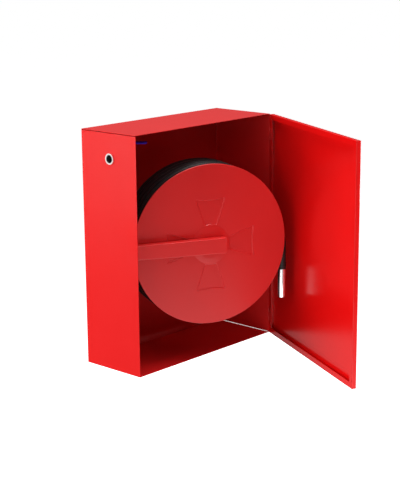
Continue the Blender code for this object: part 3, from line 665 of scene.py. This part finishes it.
def inlet():
    face = -WIDTH / 2
    flange = face - INLET_FLANGE
    start, end, bevel = -0.3028, -0.2945, 0.0004
    thread = threaded(INLET_THREAD, 0.0018, start, end)
    socket = []
    for i in range(9):
        z = flange + 0.0022 + i * 0.0019
        socket += [(INLET_SOCKET, z), (INLET_MOUTH, z + 0.00095)]
    rows = [(INLET_SOCKET, end - GAP), (0.0120, end), *reversed(thread), (INLET_THREAD, start - 0.0001),
            (INLET_THREAD, face - GAP), (INLET_RING - bevel, face - GAP), (INLET_RING, face - GAP - bevel),
            (INLET_RING, face - 0.0014), (INLET_RING - GAP, face - 0.0018), (0.0180, face - 0.0022),
            (INLET_NECK + GAP, face - 0.0020), (INLET_NECK, face - 0.0024), (INLET_NECK, flange + 0.0008),
            (0.0165, flange), (INLET_MOUTH + 0.0010, flange), (INLET_MOUTH, flange + 0.0012), *socket]
    turned = spun("inlet", rows, 64, sharp=30)
    fitting = piece("inlet_fitting", turned, "cabinet", ["inlet_nipple"], SATIN, INLET)
    fitting.data.materials.append(SEALANT_AND_SHADE)
    fitting.data.materials.append(RED)
    # Faces inside the thread take the near-black bore finish, which is thread sealant and painted shade;
    # faces past the band take the red coat.
    reach = [hypot(corner.co.y - VALVE.y, corner.co.z - VALVE.z) for corner in fitting.data.vertices]
    for side in fitting.data.polygons:
        if max(reach[i] for i in side.vertices) < INLET_BARE:
            side.material_index = 1
        elif min(reach[i] for i in side.vertices) > INLET_BAND:
            side.material_index = 2
    nut = hex_nut("locknut", 0.022, INLET_HOLE, face + SHEET + GAP, face + 0.009)
    piece("inlet_ring_nut", nut, "cabinet", ["inlet_locknut"], where=INLET)


def valve():
    x = VALVE.x
    waist, ends, belly = 0.0156, 0.0150, 0.0195
    rows = [(VALVE_BORE, -0.2942), (0.0142, -0.2942), (ends, -0.2934), (ends, x - belly),
            (waist, x - 0.0172), (0.0187, x - 0.0150), (belly, x - 0.0125), (belly, x + 0.0125),
            (0.0187, x + 0.0150), (waist, x + 0.0172), (ends, x + belly), (ends, -0.2408),
            (0.0142, VALVE_END), (VALVE_BORE, VALVE_END)]
    body = placed(spun("valve", rows, 64, 0.0006), INLET)
    boss = spun("boss", [(0, 0.0), (0.0100, 0.0), (0.0100, 0.0292), (0.0092, 0.0300), (0, 0.0300)], 48,
                ring=False)
    body = carved(body, [placed(boss, AT_VALVE)], "UNION")
    body = carved(body, [placed(rod(STEM_HOLE, 0.0, 0.04), AT_VALVE),
                         placed(rod(VALVE_BORE, -0.30, -0.23), INLET)])
    piece("valve_casting", body, "cabinet", ["valve_body"], CAST)
    piece("gland_nut", hex_nut("packing", 0.0095, STEM_HOLE, 0.0303, 0.036), "cabinet", ["packing_nut"],
          where=AT_VALVE)


def lever():
    """The flat handle, its sleeve, whose rows are (distance along, share of the full size), and its stem."""
    tail, neck, corner = 0.0065, 0.011, 0.004
    low, high = LEVER_HEIGHT - LEVER_HALF, LEVER_HEIGHT + LEVER_HALF

    def outline(inset):
        round_end = arc((0, 0), neck - inset, asin(tail / neck), tau - asin(tail / neck), 32)
        right, half = LEVER_LENGTH - corner, tail - corner
        far = arc((right - corner, -half), corner - inset, -pi / 2, 0, 6)
        far += arc((right - corner, half), corner - inset, 0, pi / 2, 6)
        return round_end + far

    plate = carved(flat_piece("lever", outline, low, high, 0.0005), [rod(STEM_HOLE, 0.0, 0.06)])
    piece("valve_handle", plate, "valve_lever", ["valve_lever"], where=LEVER)

    swell = [(0.0, 0.74), (0.0006, 0.86), (0.0018, 0.95), (0.004, 1.0), (0.012, 0.985), (0.024, 0.94),
             (0.036, 0.965), (0.043, 1.0), (0.0475, 0.96), (0.0497, 0.82), (0.0508, 0.60), (0.051, 0.34)]
    loops = []
    for along, full in swell:
        wide, tall = GRIP_WIDE * full, GRIP_HIGH * (0.35 + 0.65 * full)
        loop = []
        for a in (tau * i / 40 for i in range(40)):
            square = min(1.0, 1.12 / max(abs(cos(a)), abs(sin(a))) ** 0.35)
            loop.append((GRIP_START + along, wide * cos(a) * square, LEVER_HEIGHT + tall * sin(a) * square))
        loops.append(loop)
    piece("lever_sleeve", loft("grip", loops, False, 60), "valve_lever", ["lever_grip"], where=LEVER)

    stem = [(0, 0.0138), (STEM, 0.0138), (STEM, LEVER_HEIGHT + 0.0018),
            *threaded(STEM, 0.001, LEVER_HEIGHT + 0.0019, LEVER_HEIGHT + 0.0085),
            (STEM - 0.0006, LEVER_HEIGHT + 0.009), (0, LEVER_HEIGHT + 0.009)]
    piece("valve_spindle", spun("stem", stem, 32, ring=False), "valve_lever", ["valve_stem"], where=LEVER)
    piece("handle_nut", hex_nut("nut", 0.008, STEM_HOLE, high + GAP, high + 0.006), "valve_lever",
          ["lever_nut"], where=LEVER)


def feed_line():
    drop, foot = ELBOW_DROP, ELBOW_FOOT
    path = [(ELBOW_START, VALVE.z), (-0.2365, VALVE.z)]
    path += arc((drop - ELBOW_BEND, VALVE.z - ELBOW_BEND), ELBOW_BEND, pi / 2, 0, 14)
    path += [(drop, foot + 0.004), (drop, foot)]
    tube = swept("elbow", [(x, VALVE.y, z) for x, z in path], lambda a, distance: ELBOW, 40)
    piece("outlet_elbow", tube, "cabinet", ["valve_outlet_elbow"])
    piece("feed_nut_top", hex_nut("nut", FEED_NUT, ELBOW + GAP, foot - 0.020, foot + 0.008), "cabinet",
          ["feed_nut_upper"], where=Matrix.Translation((drop, VALVE.y, 0)))
    route = [(PIVOT.x, PIVOT.y, SWIVEL_NECK + GAP), (PIVOT.x, PIVOT.y, 0.115),
             (PIVOT.x + 0.012, PIVOT.y + 0.011, 0.150), (PIVOT.x + 0.040, PIVOT.y + 0.038, 0.188),
             (drop - 0.008, VALVE.y - 0.008, 0.222), (drop, VALVE.y, 0.250), (drop, VALVE.y, foot - GAP)]

    def braid(a, distance):
        """Two families of wire bundles that pass over and under each other."""
        one, two = 12 * a + distance / FEED_PITCH, 12 * a - distance / FEED_PITCH
        over = cos(one) * cos(two)
        return FEED - FEED_WIRE + FEED_WIRE * (0.6 * abs(over) + 0.4 * max(cos(one), cos(two)))

    hose = swept("feed", spline(route, 0.0011), braid, 96, 80)
    piece("feed_hose_braided", hose, "cabinet", ["feed_hose"], BRAID)
    piece("feed_nut_bottom", hex_nut("nut", FEED_NUT, FEED + GAP, SWIVEL_NECK - 0.009, SWIVEL_NECK + 0.014),
          "cabinet", ["feed_nut_lower"], where=AT_PIVOT)


def pivot():
    piece("pivot_bracket", refined("wall_bracket", 0.0006), "cabinet", ["wall_bracket"])
    base, crown, neck, bore, housing, port = 0.0365, 0.070, 0.009, POST + GAP, 0.016, 0.006
    groove, seal, seal_low, seal_high, seat = housing - 0.0006, 0.0123, 0.0497, 0.0543, 0.0663
    rows = [(neck - 0.0004, SWIVEL_NECK), (neck, SWIVEL_NECK - 0.0004), (neck, crown + 0.004),
            (0.0105, crown + 0.0012), (0.0145, crown - 0.0012), (housing, crown - 0.0035), (housing, 0.0600),
            (groove, 0.0592), (groove, 0.0578), (housing, 0.0570), (housing, base + 0.0006), (groove, base),
            (bore, base), (bore, seal_low), (seal, seal_low), (seal, seal_high), (bore, seal_high),
            (bore, seat), (port, seat), (port, SWIVEL_NECK)]
    piece("swivel_housing", spun("swivel", rows, 64, sharp=30), "cabinet", ["swivel_body"], where=AT_PIVOT)
    sleeve, flange, thick, ear = 0.0125, 0.0155, 0.0014, 0.007
    for end, face, out in (("upper", ARM_TOP + GAP, 1), ("lower", ARM_FOOT - GAP, -1)):
        far = face + (ear - GAP) * out
        rows = [(sleeve, far), (sleeve, face + thick * out), (flange, face + thick * out), (flange, face),
                (bore, face), (bore, far)]
        piece("bush_" + end, spun("bush", rows, 64, 0.0003), "cabinet", ["pivot_bush_" + end],
              where=AT_PIVOT)


# Swing arm and axle

def swing_arm():
    slope = (ARM_FOOT_HUB - ARM_FOOT) / ARM_LENGTH
    inside, edge = ARM_BEND - ARM_SHEET, 0.0004

    def outline(inset, y):
        left, right, top = ARM_END + inset, ARM_TIP - inset, ARM_TOP - inset
        foot_left, foot_right = ARM_FOOT + slope * left + inset, ARM_FOOT + slope * right + inset
        radius = max(ARM_CORNER - inset, 0.0012)
        centres = [(right - radius, foot_right + radius), (right - radius, top - radius),
                   (left + radius, top - radius), (left + radius, foot_left + radius)]
        points = []
        for quarter, centre in enumerate(centres):
            points += arc(centre, radius, (quarter - 1) * pi / 2, quarter * pi / 2, 6)
        return [(x, y, z) for x, z in points]

    loops = [outline(inset, ARM_FRONT + rise)
             for inset, rise in edge_steps(ARM_BEND, (90, 75, 60, 45, 30, 15, 0))]
    loops += [outline(0, ARM_BACK - edge), outline(edge, ARM_BACK), outline(ARM_SHEET - edge, ARM_BACK),
              outline(ARM_SHEET, ARM_BACK - edge)]
    loops += [outline(ARM_SHEET + inset, ARM_FRONT + ARM_SHEET + rise)
              for inset, rise in edge_steps(inside, (0, 30, 60, 90))]
    arm = carved(loft("arm", loops, False, 50), [rod(POST + GAP, -0.04, 0.05, 48)], sharp=50)
    # The arm takes the lighter copy of the red coat: painted light on its face.
    piece("arm_channel", arm, "swing_arm", ["swing_arm"], PAINTED_LIGHT_ARM_RED, where=SWING)


def post():
    bore, foot, head = 0.0065, -0.027, 0.066
    rows = [(bore, foot), (POST, foot), (POST, head), (bore, head)]
    piece("post_tube", spun("post", rows, 64, 0.0004), "swing_arm", ["pivot_post"], where=SWING)
    corner, low, high, shank = 0.011, -0.031, foot - GAP, bore - GAP
    rows = [(0, low), (0.004, low), *hex_end(corner, low, 1), (hexagon(corner, corner), high),
            (shank, high), (shank, -0.019), (0, -0.019)]
    piece("post_drain_plug", spun("plug", rows, 72, ring=False, sharp=28), "swing_arm", ["post_plug"],
          where=SWING)


def axle():
    web = ARM_FRONT + ARM_SHEET - DISC_FRONT + GAP
    shoulder = DRUM_DEPTH + 0.0018
    bore, flange, bevel = AXLE_THREAD + GAP, 0.018, 0.0006
    rows = [(0, web), (flange - bevel, web), (flange, web + 0.0005), (flange, web + 0.0015),
            (AXLE, web + 0.0015), (AXLE, shoulder - bevel), (AXLE - bevel, shoulder), (AXLE_THREAD, shoulder),
            *threaded(AXLE_THREAD, 0.0015, shoulder + 0.0004, AXLE_END - 0.0012),
            (AXLE_THREAD - 0.0010, AXLE_END), (0, AXLE_END)]
    piece("axle_bar", spun("axle", rows, 64, ring=False, sharp=35), "swing_arm", ["hub_axle"], where=HUB)
    low = shoulder + 0.0001
    high = low + 0.002
    rows = [(bore, low), (0.024, low), (0.024, high), (bore, high)]
    piece("thrust_washer", spun("washer", rows, 64, 0.0003), "swing_arm", ["axle_washer"], where=HUB)
    low = high + GAP
    high = low + 0.0024
    rows = [(0.016, high), (0.0203, low + 0.0014), (0.0205, low + 0.0002), (0.0198, low),
            (bore, low + 0.0012), (bore, high)]
    piece("disc_spring", spun("spring", rows, 64, 0.0003), "swing_arm", ["brake_spring"], where=HUB)
    low = high + GAP
    piece("axle_end_nut", hex_nut("nut", 0.015, bore, low, low + 0.007), "swing_arm", ["axle_nut"], where=HUB)


# Drum

def wedge():
    """One pressed wedge's outline, evenly spaced, corners rounded, with its outward directions."""
    corner = sqrt(CROSS_OUTER ** 2 - CROSS_HALF_OUTER ** 2)
    dish = (CROSS_HALF_OUTER ** 2 + CROSS_DISH ** 2) / (2 * CROSS_DISH)
    spread, opening = asin(CROSS_HALF_OUTER / dish), asin(CROSS_HALF_INNER / CROSS_INNER)
    points = arc((0, 0), CROSS_INNER, -opening, opening, 12)
    points += arc((corner - CROSS_DISH + dish, 0), dish, pi - spread, pi + spread, 20)
    points = np.array(points + points[:1])
    reach = np.concatenate([[0], np.cumsum(np.hypot(*np.diff(points, axis=0).T))])
    at = np.linspace(0, reach[-1], WEDGE_POINTS, endpoint=False)
    even = np.column_stack([np.interp(at, reach, points[:, k]) for k in (0, 1)])
    for _ in range(6):
        even = even / 2 + (np.roll(even, 1, 0) + np.roll(even, -1, 0)) / 4
    ahead = np.roll(even, -1, 0) - np.roll(even, 1, 0)
    ahead /= np.hypot(*ahead.T)[:, None]
    return even, np.column_stack([-ahead[:, 1], ahead[:, 0]])


def front_disc():
    """A sheet disc with a rolled rim, a hole for the hub and four wedges pressed into it."""
    even, outward = wedge()
    if (outward[WEDGE_POINTS // 2] * even[WEDGE_POINTS // 2]).sum() < 0:
        outward = -outward
    shape = bmesh.new()

    def circle(radius, z):
        angles = [tau * i / DISC_POINTS for i in range(DISC_POINTS)]
        return [shape.verts.new((radius * cos(a), radius * sin(a), z)) for a in angles]

    def edges_of(loop):
        pairs = zip(loop, loop[1:] + loop[:1])
        return [shape.edges.get(pair) or shape.edges.new(pair) for pair in pairs]

    roll = DISC_RADIUS - ROLL
    rim = [circle(roll - 0.0012, 0.00005), circle(roll, 0.0)]
    for turn in range(75, -136, -15):
        a = radians(turn)
        rim.append(circle(roll + ROLL * cos(a), ROLL - ROLL * sin(a)))
    skin(shape, rim)
    open_edges = edges_of(rim[0]) + edges_of(circle(0.020, 0.0))
    for number in range(4):
        turn = number * pi / 2
        spin = np.array([[cos(turn), sin(turn)], [-sin(turn), cos(turn)]])
        walls = []
        for i in range(WEDGE_ROWS):
            t = i / (WEDGE_ROWS - 1)
            flat = (even + outward * (WEDGE_OUT - WEDGE_IN * t)) @ spin
            z = CROSS_DEPTH * (1 - cos(pi * t)) / 2
            walls.append([shape.verts.new((x, y, z)) for x, y in flat])
        skin(shape, walls)
        open_edges += edges_of(walls[0])
        bmesh.ops.triangle_fill(shape, use_beauty=True, edges=edges_of(walls[-1]))
    bmesh.ops.triangle_fill(shape, use_beauty=True, edges=open_edges)
    obj = piece("front_disc_pressed", closed(shape, "disc", 60), "drum", ["front_disc"], where=HUB,
                weighted=False)
    sheet = obj.modifiers.new("sheet", "SOLIDIFY")
    sheet.thickness = DISC_SHEET
    sheet.offset = -1.0
    normals = obj.modifiers.new("weighted normals", "WEIGHTED_NORMAL")
    normals.keep_sharp = True


def hub_flange():
    """A shallow dome that fades out into the disc."""
    bore, edge, crown = AXLE + 0.0005, 0.0620, -0.0026
    rows = [(bore, -GAP), (edge, -GAP), (edge, -0.0005), (0.0600, -0.0008), (0.0560, -0.0013),
            (0.0520, -0.0018), (0.0480, -0.0022), (0.0440, -0.0025), (0.0400, crown),
            (AXLE + 0.0012, crown), (bore, crown + 0.0006)]
    piece("hub_boss", spun("flange", rows, 128, sharp=45), "drum", ["hub_flange"], where=HUB)


def back_disc_and_ties():
    front = DRUM_DEPTH + 0.0001
    roll, bore = BACK_RADIUS - ROLL, AXLE + 0.0006
    rows = [(roll + ROLL * cos(radians(a)), front + ROLL + ROLL * sin(radians(a)))
            for a in range(90, -91, -15)]
    rows += [(bore, front), (bore, front + SHEET), (roll - 0.0019, front + SHEET)]
    places = [Matrix.Translation((TIE_RADIUS * cos(a), TIE_RADIUS * sin(a), 0))
              for a in (i * pi / 2 + pi / 4 for i in range(4))]
    tools = [placed(rod(TIE_ROD + GAP, DRUM_DEPTH - 0.002, DRUM_DEPTH + 0.005, 24), at) for at in places]
    back = carved(spun("back", rows, 192, sharp=45), tools, sharp=45)
    piece("back_disc_rolled", back, "drum", ["back_disc"], where=HUB)
    start, end = SHEET + GAP, DRUM_DEPTH + 0.010
    rows = [(0, start), (TIE_ROD, start), (TIE_ROD, DRUM_DEPTH - 0.006),
            *threaded(TIE_ROD, 0.0009, DRUM_DEPTH - 0.0055, end - 0.0005), (TIE_ROD - 0.0006, end), (0, end)]
    seat = front + SHEET + GAP
    for number, at in enumerate(places, 1):
        piece(f"tie_bolt_{number}", spun("rod", rows, 24, ring=False, sharp=35), "drum",
              [f"tie_rod_{number}"], where=HUB @ at)
        piece(f"tie_end_nut_{number}", hex_nut("nut", 0.0058, TIE_ROD + GAP, seat, seat + 0.005), "drum",
              [f"tie_nut_{number}"], where=HUB @ at)


cabinet()
door()
hinges()
inlet()
valve()
lever()
feed_line()
pivot()
swing_arm()
post()
axle()
front_disc()
hub_flange()
back_disc_and_ties()


# Floor and studio light

def glowing(name, colour, glow):
    """A surface of that colour that also gives off white light."""
    material = bpy.data.materials.new(name)
    material.use_nodes = True
    shader = material.node_tree.nodes["Principled BSDF"]
    shader.inputs["Base Color"].default_value = (*colour, 1)
    shader.inputs["Emission Color"].default_value = (1, 1, 1, 1)
    shader.inputs["Emission Strength"].default_value = glow
    return material


def staged(name, points, faces, material):
    mesh = bpy.data.meshes.new(name)
    mesh.from_pydata(points, [], faces)
    mesh.materials.append(material)
    obj = bpy.data.objects.new(name, mesh)
    bpy.context.scene.collection.objects.link(obj)
    obj.visible_diffuse = False
    return obj


def floor():
    reach, level = 40.0, -1.2
    corners = [(-reach, -reach, level), (reach, -reach, level), (reach, reach, level), (-reach, reach, level)]
    staged("floor", corners, [(0, 1, 2, 3)], glowing("white_floor", (1, 1, 1), 1.0)).visible_glossy = False


def softbox(name, at, look, size, power, shiny=True):
    """A square lamp that looks at a point; one that isn't shiny leaves no reflection."""
    data = bpy.data.lights.new(name, "AREA")
    data.shape = "SQUARE"
    data.size = size
    data.energy = power
    lamp = bpy.data.objects.new(name, data)
    bpy.context.scene.collection.objects.link(lamp)
    lamp.location = at
    lamp.rotation_euler = (Vector(look) - Vector(at)).to_track_quat("-Z", "Y").to_euler()
    lamp.visible_glossy = shiny


def card(name, centre, radius, start, end, low, high, glow):
    """A curved white wall that only shows in reflections; its angles are in degrees."""
    rim = arc(centre, radius, radians(start), radians(end), 24)
    count = len(rim)
    material = glowing(name, (0, 0, 0), glow)
    material.node_tree.nodes["Principled BSDF"].inputs["Specular IOR Level"].default_value = 0.0
    obj = staged(name, [(x, y, z) for z in (low, high) for x, y in rim],
                 [(i, i + 1, i + 1 + count, i + count) for i in range(count - 1)], material)
    obj.visible_camera = False
    obj.visible_shadow = False


def world():
    """White to look at, and no light of its own on the object."""
    made = bpy.data.worlds.new("studio")
    made.use_nodes = True
    nodes, links = made.node_tree.nodes, made.node_tree.links
    seen, unlit = nodes["Background"], nodes.new("ShaderNodeBackground")
    seen.inputs["Color"].default_value = (1, 1, 1, 1)
    unlit.inputs["Strength"].default_value = 0.0
    mix, path = nodes.new("ShaderNodeMixShader"), nodes.new("ShaderNodeLightPath")
    links.new(path.outputs["Is Camera Ray"], mix.inputs["Fac"])
    links.new(unlit.outputs["Background"], mix.inputs[1])
    links.new(seen.outputs["Background"], mix.inputs[2])
    links.new(mix.outputs["Shader"], nodes["World Output"].inputs["Surface"])
    bpy.context.scene.world = made


floor()
world()
card("left_card", (0.15, -0.45), 2.6, 163, 240, -1.5, 1.3, 1.05)
card("back_card", (0.15, -0.45), 2.6, 60, 110, -1.9, -0.5, 0.40)
card("top_card", (0, -0.1), 2.6, 20, 70, 0.2, 2.2, 0.14)
softbox("left_light", (-3.2, -0.3, 0.6), MIDDLE, 2.4, 34, False)
softbox("back_left_light", (-2.7, 1.6, 0.5), MIDDLE, 2.0, 92, False)
softbox("top_light", (0, -0.1, 3.0), MIDDLE, 2.2, 98)
softbox("low_light", (-0.4, -1.0, -1.15), (0, -0.4, 0), 2.0, 18)
softbox("top_front_light", (-0.5, -2.2, 2.4), MIDDLE, 2.0, 17)
softbox("right_light", (1.9, -3.1, -0.1), (0, -0.8, 0), 0.9, 128)
